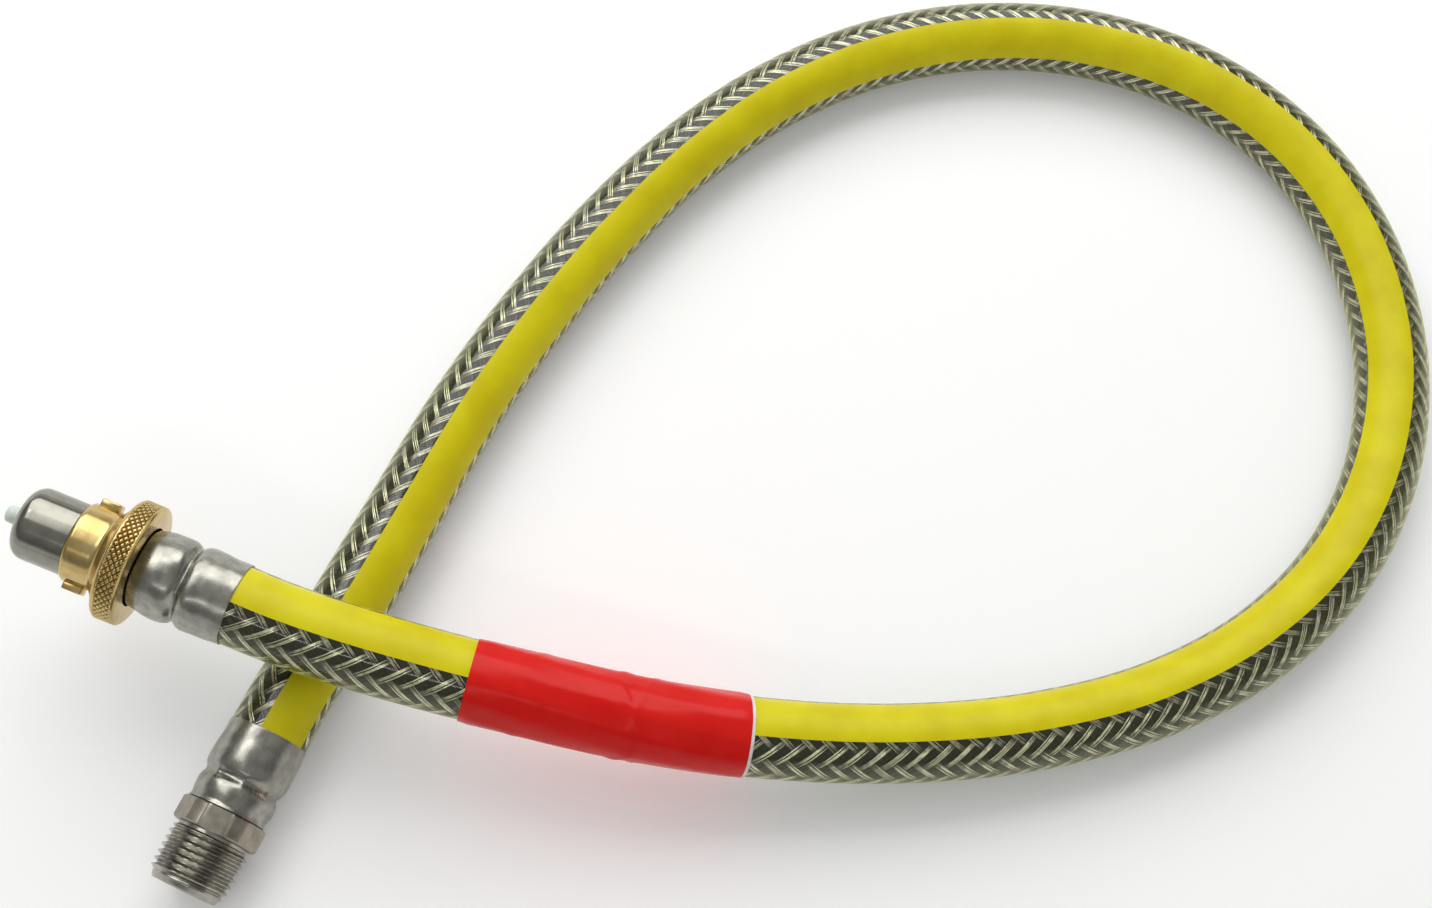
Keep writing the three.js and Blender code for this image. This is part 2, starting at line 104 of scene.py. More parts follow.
def new_mesh(name, points, faces, sharp=40, material_index=None):
    """A smooth-shaded mesh object; edges sharper than `sharp` degrees stay crisp."""
    mesh = bpy.data.meshes.new(name)
    mesh.from_pydata([tuple(p) for p in points], [], [tuple(f) for f in faces])
    if material_index is not None:
        mesh.polygons.foreach_set("material_index", material_index)
    mesh.shade_smooth()
    mesh.set_sharp_from_angle(angle=math.radians(sharp))
    mesh.update()
    made = bpy.data.objects.new(name, mesh)
    bpy.context.scene.collection.objects.link(made)
    return made


def ring_faces(rings, around, closed_loop=False):
    """Quads between neighbouring rings of points; closed_loop joins the last ring to the first."""
    spans = rings if closed_loop else rings - 1
    faces = []
    for i in range(spans):
        here = i * around
        beyond = ((i + 1) % rings) * around
        for j in range(around):
            k = (j + 1) % around
            faces.append((here + j, here + k, beyond + k, beyond + j))
    return faces


def tube_faces(rings, around):
    """Faces of a closed tube: quads along it, then a flat cap on each end."""
    last = (rings - 1) * around
    first_cap = tuple(range(around))[::-1]
    last_cap = tuple(last + j for j in range(around))
    return [*ring_faces(rings, around), first_cap, last_cap]


def fitting_matrix(mouth, heading, rise):
    """Frame of a fitting: origin in its ferrule's mouth, local Z towards its tip, local Y upward."""
    h, r = math.radians(heading), math.radians(rise)
    along = Vector((math.cos(h) * math.cos(r), math.sin(h) * math.cos(r), math.sin(r)))
    across = along.cross(Vector((0, 0, 1))).normalized()
    upward = across.cross(along)
    rotation = Matrix((-across, upward, along)).transposed()
    return Matrix.Translation(Vector(mouth) * MM) @ rotation.to_4x4()


PLUG_FRAME = fitting_matrix(PLUG_MOUTH, PLUG_HEADING, PLUG_TIP_RISE)
THREAD_FRAME = fitting_matrix(THREAD_MOUTH, THREAD_HEADING, 0)


def turned(name, profile, around=96, reshape=None, place=None, sharp=40):
    """A turned piece from a closed profile of (radius, along) in mm, counterclockwise.

    reshape(radius, along, angle) takes arrays and gives each point its final radius.
    """
    radius = np.array([p[0] for p in profile], float)[:, None]
    along = np.array([p[1] for p in profile], float)[:, None]
    angle = (np.arange(around) * TURN / around)[None, :]
    radius, along, angle = np.broadcast_arrays(radius, along, angle)
    if reshape is not None:
        radius = reshape(radius, along, angle)
    points = np.stack([radius * np.cos(angle), radius * np.sin(angle), along], axis=-1)
    faces = ring_faces(len(profile), around, closed_loop=True)
    made = new_mesh(name, points.reshape(-1, 3) * MM, faces, sharp)
    made.matrix_world = place
    return made


def arc(centre, radius, start, end, steps=8):
    """Profile points on a circle's arc, angles in degrees."""
    turns = np.radians(np.linspace(start, end, steps + 1))
    return [(centre[0] + radius * math.cos(t), centre[1] + radius * math.sin(t)) for t in turns]


def smooth_profile(points, step=0.4):
    """Points on a smooth line through a few given (radius, along) points."""
    spots = np.array(points, float)
    length = np.r_[0, np.cumsum(np.linalg.norm(np.diff(spots, axis=0), axis=1))]
    count = max(2, int(length[-1] / step))
    where = np.linspace(0, length[-1], count + 1)
    slope = np.gradient(spots, length, axis=0)
    cell = np.clip(np.searchsorted(length, where) - 1, 0, len(spots) - 2)
    width = length[cell + 1] - length[cell]
    t = ((where - length[cell]) / width)[:, None]
    width = width[:, None]
    line = (
        (2 * t**3 - 3 * t**2 + 1) * spots[cell]
        + (t**3 - 2 * t**2 + t) * width * slope[cell]
        + (-2 * t**3 + 3 * t**2) * spots[cell + 1]
        + (t**3 - t**2) * width * slope[cell + 1]
    )
    return [tuple(p) for p in line]


# The hose's route.

# Length of hose inside each ferrule.
INSERTION = 18.0
# Reach on each side of a place over which the hose's direction is taken.
DIRECTION_REACH = 1.5


def centripetal(points, per_span=60):
    """Centripetal Catmull-Rom line through the points, as in the CAD."""
    spots = np.array(points, float)
    spots = np.vstack([2 * spots[0] - spots[1], spots, 2 * spots[-1] - spots[-2]])
    line = []
    for i in range(1, len(spots) - 2):
        before, start, end, after = spots[i - 1 : i + 3]
        a = np.linalg.norm(start - before) ** 0.5
        b = np.linalg.norm(end - start) ** 0.5
        c = np.linalg.norm(after - end) ** 0.5
        leave = ((start - before) / a - (end - before) / (a + b) + (end - start) / b) * b
        arrive = ((end - start) / b - (after - start) / (b + c) + (after - end) / c) * b
        t = np.linspace(0, 1, per_span, endpoint=False)[:, None]
        square = -3 * start + 3 * end - 2 * leave - arrive
        cube = 2 * start - 2 * end + leave + arrive
        line.append(start + leave * t + square * t**2 + cube * t**3)
    line.append(spots[-2][None])
    return np.vstack(line)


def lead(place, distance):
    """A point on a fitting's axis, in mm."""
    return np.array(place @ Vector((0, 0, distance * MM))) / MM


line = centripetal(
    [
        lead(PLUG_FRAME, INSERTION),
        lead(PLUG_FRAME, INSERTION / 2),
        lead(PLUG_FRAME, 0),
        lead(PLUG_FRAME, -STRAIGHT_LEAD),
        *ROUTE_BETWEEN_LEADS,
        lead(THREAD_FRAME, -STRAIGHT_LEAD),
        lead(THREAD_FRAME, 0),
        lead(THREAD_FRAME, INSERTION / 2),
        lead(THREAD_FRAME, INSERTION),
    ]
)
line_length = np.r_[0, np.cumsum(np.linalg.norm(np.diff(line, axis=0), axis=1))]
HOSE_LENGTH = line_length[-1] - 2 * INSERTION


def stations(start, end, step):
    """Places along the hose, evenly spaced in mm from the plug ferrule's mouth."""
    return np.linspace(start, end, max(2, int(round((end - start) / step))) + 1)


def hose_frame(distance):
    """Centre, forward, upward and sideways directions of the hose at each distance."""
    reach = np.asarray(distance, float) + INSERTION

    def at(x):
        return np.stack([np.interp(x, line_length, line[:, k]) for k in range(3)], axis=-1)

    centre = at(reach)
    forward = at(reach + DIRECTION_REACH) - at(reach - DIRECTION_REACH)
    forward /= np.linalg.norm(forward, axis=-1, keepdims=True)
    upward = np.array([0, 0, 1.0]) - forward[..., 2:3] * forward
    upward /= np.linalg.norm(upward, axis=-1, keepdims=True)
    sideways = np.cross(forward, upward)
    return centre, forward, upward, sideways


def around_hose(distance, angle, radius):
    """Points at an angle from the hose's upper line towards its side, and at a radius, in mm."""
    centre, _, upward, sideways = hose_frame(distance)
    return centre + radius[..., None] * (
        np.cos(angle)[..., None] * upward + np.sin(angle)[..., None] * sideways
    )


# Materials.


def linear(hex_colour):
    """An sRGB hex colour as linear RGBA."""
    parts = [int(hex_colour[i : i + 2], 16) / 255 for i in (1, 3, 5)]
    return (*[p / 12.92 if p <= 0.04045 else ((p + 0.055) / 1.055) ** 2.4 for p in parts], 1)


def node(tree, kind, links=None, **settings):
    """Adds a node, sets its properties or input values, and links its inputs."""
    made = tree.nodes.new(kind)
    for key, value in settings.items():
        if hasattr(made, key):
            setattr(made, key, value)
        else:
            made.inputs[key.replace("_", " ")].default_value = value
    for key, socket in (links or {}).items():
        tree.links.new(socket, made.inputs[key])
    return made


def new_material(name, **values):
    """A material with its Principled shader; values are set on the shader's own sockets."""
    made = bpy.data.materials.new(name)
    made.use_nodes = True
    shader = made.node_tree.nodes["Principled BSDF"]
    for key, value in values.items():
        shader.inputs[key.replace("_", " ")].default_value = value
    return made, made.node_tree, shader


def two_tone(tree, factor, dark, light, low=0.35, high=0.65):
    """Colours between two tones, driven by a factor."""
    ramp = node(tree, "ShaderNodeValToRGB", {"Fac": factor})
    ramp.color_ramp.elements[0].position = low
    ramp.color_ramp.elements[0].color = linear(dark)
    ramp.color_ramp.elements[1].position = high
    ramp.color_ramp.elements[1].color = linear(light)
    return ramp.outputs["Color"]


def own_coordinates(tree, stretch=(1, 1, 1)):
    """The piece's own coordinates, stretched; local Z runs along a turned piece."""
    place = node(tree, "ShaderNodeTexCoord")
    scaled = node(tree, "ShaderNodeMapping", {"Vector": place.outputs["Object"]}, Scale=stretch)
    return scaled.outputs["Vector"]


def patches_of(size):
    """A noise texture's scale for patches of about a size in mm."""
    return 1 / (size * MM)


# Noise squeezed this many times along the axis reads as rings round it.
RING_SQUEEZE = 30
# Real turning marks are about 0.05 mm apart; they are drawn coarser, at groove_pitch, so they show.
TURNING_DEPTH = 0.004


def turned_metal(name, dark, light, roughness, groove_pitch):
    """Lathe-turned metal: fine rings round the axis, and a slow drift of tone and gloss."""
    made, tree, shader = new_material(name, Metallic=1)
    rings = node(
        tree,
        "ShaderNodeTexNoise",
        {"Vector": own_coordinates(tree, (1, 1, RING_SQUEEZE))},
        Scale=patches_of(groove_pitch * RING_SQUEEZE),
        Detail=3.0,
    )
    patches = node(
        tree,
        "ShaderNodeTexNoise",
        {"Vector": own_coordinates(tree)},
        Scale=patches_of(3.85),
        Detail=4.0,
    )
    tone = two_tone(tree, patches.outputs["Fac"], dark, light)
    tree.links.new(tone, shader.inputs["Base Color"])
    gloss = node(
        tree,
        "ShaderNodeMapRange",
        {"Value": patches.outputs["Fac"]},
        To_Min=roughness * 0.8,
        To_Max=roughness * 1.25,
    )
    tree.links.new(gloss.outputs["Result"], shader.inputs["Roughness"])
    bump = node(
        tree,
        "ShaderNodeBump",
        {"Height": rings.outputs["Fac"]},
        Strength=0.5,
        Distance=TURNING_DEPTH * MM,
    )
    tree.links.new(bump.outputs["Normal"], shader.inputs["Normal"])
    return made


def pressed_metal(name, dark, light, roughness):
    """Tumbled or milled steel: streaks along the axis over a cloudy satin sheen and soft dents."""
    made, tree, shader = new_material(name, Metallic=1)
    clouds = node(
        tree,
        "ShaderNodeTexNoise",
        {"Vector": own_coordinates(tree)},
        Scale=patches_of(3.125),
        Detail=5.0,
    )
    # Streaks 0.7 mm wide and eight times as long, coarser than the real drawing lines.
    streaks = node(
        tree,
        "ShaderNodeTexNoise",
        {"Vector": own_coordinates(tree, (1, 1, 0.12))},
        Scale=patches_of(0.714),
        Detail=4.0,
    )
    tone = two_tone(tree, clouds.outputs["Fac"], dark, light)
    tree.links.new(tone, shader.inputs["Base Color"])
    gloss = node(
        tree,
        "ShaderNodeMapRange",
        {"Value": streaks.outputs["Fac"]},
        To_Min=roughness * 0.7,
        To_Max=roughness * 1.4,
    )
    tree.links.new(gloss.outputs["Result"], shader.inputs["Roughness"])
    soft_dents = node(
        tree,
        "ShaderNodeBump",
        {"Height": clouds.outputs["Fac"]},
        Strength=0.45,
        Distance=0.12 * MM,
    )
    fine = node(
        tree,
        "ShaderNodeBump",
        {"Height": streaks.outputs["Fac"], "Normal": soft_dents.outputs["Normal"]},
        Strength=0.2,
        Distance=0.01 * MM,
    )
    tree.links.new(fine.outputs["Normal"], shader.inputs["Normal"])
    return made


TURNED_STEEL = turned_metal("turned_steel", "#86857b", "#949287", roughness=0.15, groove_pitch=0.12)
TURNED_BRASS = turned_metal("turned_brass", "#bca266", "#ceb67c", roughness=0.2, groove_pitch=0.15)
# Painted shade: a darker, rougher brass for the knurl's grooves.
GROOVE_SHADED_BRASS = turned_metal("groove_shaded_brass", "#7d6230", "#96783f", roughness=0.34, groove_pitch=0.15)
PLATED_STEEL = turned_metal("plated_steel", "#96938a", "#aeaba1", roughness=0.2, groove_pitch=0.2)
MILLED_STEEL = pressed_metal("milled_steel", "#928b7d", "#a59e90", roughness=0.34)
PRESSED_STEEL = pressed_metal("pressed_steel", "#898880", "#a8a69b", roughness=0.25)


def moulded_nylon():
    """Natural nylon: milky and a little translucent, with faint flow clouds."""
    made, tree, shader = new_material(
        "moulded_nylon",
        Roughness=0.42,
        Subsurface_Weight=0.35,
        Subsurface_Radius=(0.002, 0.002, 0.0018),
    )
    clouds = node(
        tree,
        "ShaderNodeTexNoise",
        {"Vector": own_coordinates(tree)},
        Scale=patches_of(2),
        Detail=3.0,
    )
    tone = two_tone(tree, clouds.outputs["Fac"], "#cdd8cf", "#e2e9e2")
    tree.links.new(tone, shader.inputs["Base Color"])
    return made


def black_rubber(name, dark, light):
    """Matt black rubber with a slight bloom."""
    made, tree, shader = new_material(name, Roughness=0.65)
    bloom = node(
        tree,
        "ShaderNodeTexNoise",
        {"Vector": own_coordinates(tree)},
        Scale=patches_of(2.5),
        Detail=4.0,
    )
    tone = two_tone(tree, bloom.outputs["Fac"], dark, light)
    tree.links.new(tone, shader.inputs["Base Color"])
    return made


def yellow_plastic():
    """The stripe: coloured soft plastic, a little cloudy, glossy on top."""
    made, tree, shader = new_material(
        "yellow_plastic",
        Roughness=0.36,
        Specular_IOR_Level=0.22,
    )
    clouds = node(
        tree,
        "ShaderNodeTexNoise",
        {"Vector": own_coordinates(tree)},
        Scale=patches_of(11.1),
        Detail=4.0,
    )
    tone = two_tone(tree, clouds.outputs["Fac"], "#d5c705", "#dfd40e")
    tree.links.new(tone, shader.inputs["Base Color"])
    bump = node(
        tree,
        "ShaderNodeBump",
        {"Height": clouds.outputs["Fac"]},
        Strength=0.25,
        Distance=0.3 * MM,
    )
    tree.links.new(bump.outputs["Normal"], shader.inputs["Normal"])
    return made


def clear_plastic():
    """Clear soft plastic with an olive cast; it magnifies the braid up to the hose's edge."""
    made, tree, shader = new_material(
        "clear_plastic",
        Base_Color=linear("#edf0d4"),
        Roughness=0.05,
        IOR=1.5,
        Transmission_Weight=1.0,
        Sheen_Weight=0.85,
        Sheen_Roughness=0.5,
        Sheen_Tint=linear("#bcbd62"),
    )
    ripple = node(
        tree,
        "ShaderNodeTexNoise",
        {"Vector": own_coordinates(tree)},
        Scale=patches_of(8.33),
        Detail=2.0,
    )
    bump = node(
        tree,
        "ShaderNodeBump",
        {"Height": ripple.outputs["Fac"]},
        Strength=0.2,
        Distance=0.3 * MM,
    )
    tree.links.new(bump.outputs["Normal"], shader.inputs["Normal"])
    return made


def bright_wire():
    """Fine drawn wire with painted shade: bright where a carrier passes over the others, darkened under
    them.
    """
    made, tree, shader = new_material("bright_wire", Metallic=1, Roughness=0.2)
    crown = node(tree, "ShaderNodeAttribute", attribute_name="crown")
    patches = node(
        tree,
        "ShaderNodeTexNoise",
        {"Vector": own_coordinates(tree)},
        Scale=patches_of(1.43),
        Detail=3.0,
    )
    mixed = node(
        tree,
        "ShaderNodeMath",
        {0: crown.outputs["Fac"], 1: patches.outputs["Fac"]},
        operation="MULTIPLY",
    )
    # Painted shade: the wire's colour darkens where its carrier runs under the others.
    tone = two_tone(tree, mixed.outputs["Value"], "#4b4a42", "#f4f1e4", 0.08, 0.42)
    tree.links.new(tone, shader.inputs["Base Color"])
    return made


def label_film():
    """Bare printed film: red, slightly glossy, finely crinkled."""
    made, tree, shader = new_material("label_film", Roughness=0.24, Specular_IOR_Level=0.2)
    clouds = node(
        tree,
        "ShaderNodeTexNoise",
        {"Vector": own_coordinates(tree)},
        Scale=patches_of(11.1),
        Detail=4.0,
    )
    tone = two_tone(tree, clouds.outputs["Fac"], "#d8120d", "#e01a12")
    tree.links.new(tone, shader.inputs["Base Color"])
    crinkles = node(
        tree,
        "ShaderNodeTexNoise",
        {"Vector": own_coordinates(tree)},
        Scale=patches_of(3.125),
        Detail=2.0,
    )
    waves = node(
        tree,
        "ShaderNodeBump",
        {"Height": clouds.outputs["Fac"]},
        Strength=0.5,
        Distance=0.6 * MM,
    )
    bump = node(
        tree,
        "ShaderNodeBump",
        {"Height": crinkles.outputs["Fac"], "Normal": waves.outputs["Normal"]},
        Strength=0.3,
        Distance=0.15 * MM,
    )
    tree.links.new(bump.outputs["Normal"], shader.inputs["Normal"])
    return made


def label_edge():
    """The film's unprinted white edge."""
    made, tree, shader = new_material("label_edge", Roughness=0.45)
    clouds = node(
        tree,
        "ShaderNodeTexNoise",
        {"Vector": own_coordinates(tree)},
        Scale=patches_of(3.33),
        Detail=3.0,
    )
    tone = two_tone(tree, clouds.outputs["Fac"], "#d9d6d0", "#efeeea")
    tree.links.new(tone, shader.inputs["Base Color"])
    return made


NYLON = moulded_nylon()
CORE_RUBBER = black_rubber("core_rubber", "#161614", "#262622")
SEAL_RUBBER = black_rubber("seal_rubber", "#121212", "#2c2c2a")
YELLOW = yellow_plastic()
CLEAR = clear_plastic()
WIRE = bright_wire()
LABEL_RED = label_film()
LABEL_WHITE = label_edge()


def dress(piece, body, slot, *materials):
    """Gives a piece its materials and its body; slot is not used."""
    for material in materials:
        piece.data.materials.append(material)
    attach(piece, body)
    return piece


# Hose: jacket with its stripe, braid and core.

# How far the stripe's middle leans from the hose's upper line, in degrees, by distance in mm.
STRIPE_LEAN = [
    (0, -26),
    (230, -26),
    (280, -30),
    (376, -25),
    (430, -28),
    (508, -34),
    (560, -38),
    (620, -39),
    (688, -42),
    (760, -39),
    (820, -38),
    (873, -34.5),
]
STRIPE_HALF_WIDTH = 36
JACKET_SIDES = 80
JACKET_STEP = 1.5
JACKET_TUCK = 2


def stripe_lean(distance):
    """Lean of the stripe's middle in radians."""
    where, lean = zip(*STRIPE_LEAN)
    return np.radians(np.interp(distance, where, lean))


def jacket():
    """Closed clear tube, its ends tucked into the ferrules; the stripe's faces are yellow."""
    distance = stations(-JACKET_TUCK, HOSE_LENGTH + JACKET_TUCK, JACKET_STEP)
    turns = np.arange(JACKET_SIDES) * TURN / JACKET_SIDES
    half = math.radians(STRIPE_HALF_WIDTH)
    angle = turns[None, :] - half + stripe_lean(distance)[:, None]
    radius = np.full(angle.shape, HOSE_RADIUS)
    rings = around_hose(np.repeat(distance[:, None], JACKET_SIDES, axis=1), angle, radius)
    faces = tube_faces(len(distance), JACKET_SIDES)
    stripe_sides = round(2 * STRIPE_HALF_WIDTH / (360 / JACKET_SIDES))
    yellow, clear = 0, 1
    materials = [yellow if i % JACKET_SIDES < stripe_sides else clear for i in range(len(faces) - 2)]
    materials += [clear, clear]
    made = new_mesh("jacket", rings.reshape(-1, 3) * MM, faces, 60, materials)
    centre = hose_frame(distance)[0] * MM
    return made, centre


CORE_SIDES = 32
CORE_STEP = 3
CORE_TUCK = 14


def core():
    """The dark liner under the wires."""
    distance = stations(-CORE_TUCK, HOSE_LENGTH + CORE_TUCK, CORE_STEP)
    turns = np.arange(CORE_SIDES) * TURN / CORE_SIDES
    angle = np.repeat(turns[None, :], len(distance), axis=0)
    spots = np.repeat(distance[:, None], CORE_SIDES, axis=1)
    rings = around_hose(spots, angle, np.full(angle.shape, CORE_RADIUS))
    faces = tube_faces(len(distance), CORE_SIDES)
    return new_mesh("liner_core", rings.reshape(-1, 3) * MM, faces, 60)


BRAID_CARRIERS = 12
BRAID_LEAD = 66.0
# Real wires are about 0.3 mm; three coarser ones a carrier show at the render's scale.
WIRES_A_CARRIER = 3
WIRE_RADIUS = 0.2
WIRE_SPACING = 0.48
WEAVE_RISE = 0.22
WIRE_WANDER = 0.1
BRAID_STEP = 1.5
BRAID_TUCK = 12


def braid(name, hand):
    """One hand of the braid: carriers of side-by-side wires, over two and under two.

    Each wire is a closed three-sided bar with its ridge outward. The point attribute crown says how
    far its carrier stands over the others there, for the wire's painted shade under the crossings.
    """
    distance = stations(-BRAID_TUCK, HOSE_LENGTH + BRAID_TUCK, BRAID_STEP)
    turn_rate = TURN / BRAID_LEAD
    points, faces, crowns = [], [], []
    count = len(distance)
    for carrier in range(BRAID_CARRIERS):
        angle = hand * turn_rate * distance + carrier * TURN / BRAID_CARRIERS
        crossing = 2 * turn_rate * distance * BRAID_CARRIERS / TURN
        weave = hand * np.cos(math.pi / 2 * (crossing - hand / 2) + math.pi * carrier)
        level = BRAID_RADIUS + WEAVE_RISE * weave
        lean = math.atan(turn_rate * BRAID_RADIUS)
        for wire in range(WIRES_A_CARRIER):
            offset = (wire - (WIRES_A_CARRIER - 1) / 2) * WIRE_SPACING
            offset = offset + WIRE_WANDER * np.sin(distance / 9 + 2.3 * carrier + 4 * wire)
            for across, lift in ((-1, 0.0), (0, 1.0), (1, 0.0)):
                shift = offset + across * WIRE_RADIUS
                turned_by = angle + shift * math.cos(lean) / BRAID_RADIUS
                moved = distance - hand * shift * math.sin(lean)
                radius = level + lift * WIRE_RADIUS
                points.append(around_hose(moved, turned_by, radius))
                crowns.append(0.5 + 0.5 * weave)
            near = (len(points) - 3) * count
            ridge = near + count
            far = ridge + count
            for i in range(count - 1):
                a, b, c = near + i, ridge + i, far + i
                faces.append((a, b, b + 1, a + 1))
                faces.append((b, c, c + 1, b + 1))
                faces.append((c, a, a + 1, c + 1))
            last = count - 1
            faces.append((near, far, ridge))
            faces.append((near + last, ridge + last, far + last))
    made = new_mesh(name, np.vstack(points) * MM, faces, 110)
    crown = made.data.attributes.new("crown", "FLOAT", "POINT")
    crown.data.foreach_set("value", np.concatenate(crowns))
    return made


jacket_piece, jacket_path = jacket()
dress(jacket_piece, "hose_body", "clear_jacket", YELLOW, CLEAR)
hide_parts("hose_jacket")

core_piece = dress(core(), "hose_body", "liner_rubber", CORE_RUBBER)
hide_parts("hose_liner")

braid_right = dress(braid("braid_right", 1), "hose_body", "braid_wire", WIRE)
braid_left = dress(braid("braid_left", -1), "hose_body", "braid_wire", WIRE)
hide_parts("hose_braid")


# Label.

LABEL_START = 60.0
LABEL_LENGTH = 72.0
LABEL_SIDES = 96
LABEL_STEP = 0.8
WHITE_EDGE = 0.8
FILM_THICKNESS = 0.08
FILM_CLEARANCE = 0.15
CREASE_HEIGHT = 0.3
# Creases across the label: middle and sway as shares of its length, waves round it, their start,
# half-width as a share, and strength.
CREASES = [
    (0.56, 0.05, 2, 0, 0.018, 1),
    (0.63, -0.06, 1, 1, 0.014, 0.6),
    (0.22, 0.03, 3, 0, 0.02, 0.5),
]


def label():
    """Loose film wrap with creases across it and a white edge at its far end."""
    distance = stations(LABEL_START, LABEL_START + LABEL_LENGTH, LABEL_STEP)
    turns = np.arange(LABEL_SIDES) * TURN / LABEL_SIDES
    spots, angle = np.meshgrid(distance, turns, indexing="ij")
    share = (spots - LABEL_START) / LABEL_LENGTH
    slack = 0.35 + 0.12 * np.sin(5 * angle + 3 * share) + 0.08 * np.sin(11 * angle - 9 * share)
    crease = np.zeros(share.shape)
    for middle, sway, waves, start, half_width, strength in CREASES:
        past = share - middle - sway * np.sin(waves * angle + start)
        crease += strength * np.exp(-((past / half_width) ** 2))
    # The film hugs the hose more closely over the last few millimetres of each end.
    ends = np.minimum(1, np.minimum(share, 1 - share) / 0.04)
    outer = HOSE_RADIUS + FILM_CLEARANCE + (slack + CREASE_HEIGHT * crease) * (0.4 + 0.6 * ends)
    rings_out = around_hose(spots, angle, outer)
    rings_in = around_hose(spots, angle, outer - FILM_THICKNESS)[::-1]
    rings = np.concatenate([rings_out, rings_in])
    faces = ring_faces(len(rings), LABEL_SIDES, closed_loop=True)
    white_rows = round(WHITE_EDGE / LABEL_STEP)
    far_end = len(distance) - 1
    red, white = 0, 1
    materials = [
        white if abs(i // LABEL_SIDES - far_end) <= white_rows else red for i in range(len(faces))
    ]
    return new_mesh("label_wrap", rings.reshape(-1, 3) * MM, faces, 60, materials)


label_piece = dress(label(), "hose_body", "label_film", LABEL_RED, LABEL_WHITE)
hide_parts("label")


# Ferrules.


def crimp(groove_at, turn, depth, reach, pinch, jaws=8):
    """Rolled groove all round, with a narrow pinched ridge left between two press jaws.

    The depth and half-width (reach) are in mm; pinch is the share of the depth that a ridge keeps.
    """

    def reshape(radius, along, angle):
        offset = along - groove_at
        groove = np.exp(-((offset / reach) ** 2))
        between = (0.5 + 0.5 * np.cos(jaws * angle + turn)) ** 12
        facets = 0.07 * np.cos(jaws * angle + turn) * np.exp(-((offset / 4) ** 2))
        waves = 0.05 * np.sin(3 * angle + 0.5 * along) + 0.04 * np.sin(5 * angle - 0.9 * along)
        hollow = depth * groove * (1 - pinch * between)
        return radius - hollow + facets + waves * np.clip(along / 3, 0, 1)

    return reshape


FERRULE_WALL = 0.85
FERRULE_END_HOLE = 6.9
FERRULE_LIP = 0.1
HOSE_SEAT_RADIUS = HOSE_RADIUS + 0.09
HOSE_SEAT_LENGTH = 3.2


def ferrule(name, outside, reshape, place):
    """Pressed cup over the hose's end, with its wall's thickness showing at the mouth."""
    mouth_lip = arc((outside[0][0] - FERRULE_LIP, FERRULE_LIP), FERRULE_LIP, 180, 360, 4)
    end = outside[-1][1]
    end_inside = end - FERRULE_WALL
    inside = [(r - FERRULE_WALL, a) for r, a in outside if 4 < a < end_inside - 0.5][::-1]
    profile = [
        *smooth_profile(outside),
        (FERRULE_END_HOLE, end),
        (FERRULE_END_HOLE, end_inside),
        (inside[0][0], end_inside),
        *inside,
        (HOSE_SEAT_RADIUS, HOSE_SEAT_LENGTH),
        (HOSE_SEAT_RADIUS, FERRULE_LIP / 2),
        *mouth_lip[1:-1],
    ]
    made = turned(name, profile, around=160, reshape=reshape, place=place, sharp=60)
    return dress(made, "hose_body", "pressed_steel", PRESSED_STEEL)


PLUG_GROOVE_AT = 12.9
plug_ferrule = ferrule(
    "ferrule_plug_end",
    [
        (10.55, 0.1),
        (10.65, 3.5),
        (10.85, 7.8),
        (10.9, 10.4),
        (10.5, 12.0),
        (10.1, PLUG_GROOVE_AT),
        (10.5, 13.8),
        (10.95, 15.6),
        (11.0, 18.0),
        (10.85, 20.2),
        (10.55, 22.0),
        (10.2, 23.4),
        (9.95, 24.4),
        (9.7, 25.2),
        (9.35, 26.2),
        (9.35, 27.6),
    ],
    crimp(PLUG_GROOVE_AT, turn=3.77, depth=0.6, reach=1.1, pinch=0.12),
    PLUG_FRAME,
)
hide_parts("plug_ferrule")

THREAD_GROOVE_AT = 13.6
thread_ferrule = ferrule(
    "ferrule_thread_end",
    [
        (10.45, 0.1),
        (10.55, 3),
        (10.75, 7),
        (10.8, 10.3),
        (10.5, 12.2),
        (10.0, THREAD_GROOVE_AT),
        (10.3, 15.0),
        (10.5, 16.6),
        (10.45, 18.2),
        (10.15, 19.7),
        (10.0, 20.4),
        (10.2, 20.9),
        (10.3, 21.3),
    ],
    crimp(THREAD_GROOVE_AT, turn=2.09, depth=0.65, reach=1.3, pinch=0.4),
    THREAD_FRAME,
)
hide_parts("thread_ferrule")


# Plug: nose, pin and collar.

NOSE_RADIUS = 9.4
NOSE_FACE = 56.3
NOSE_ROUNDING = 3.6
SHOULDER = 41.9
SHOULDER_CHAMFER = 0.2
SEAT = 50.2
JOURNAL_RADIUS = 8.3
JOURNAL_BACK = 27.8
CIRCLIP_GROOVE = (29.4, 30.5)
CIRCLIP_GROOVE_RADIUS = 7.5
SOCKET_RADIUS = 6.5
CHAMBER_RADIUS = 6.0
CHAMBER_BACK = 35.1
PIN_HOLE_RADIUS = 3.0
PIN_HOLE_CHAMFER = 0.4

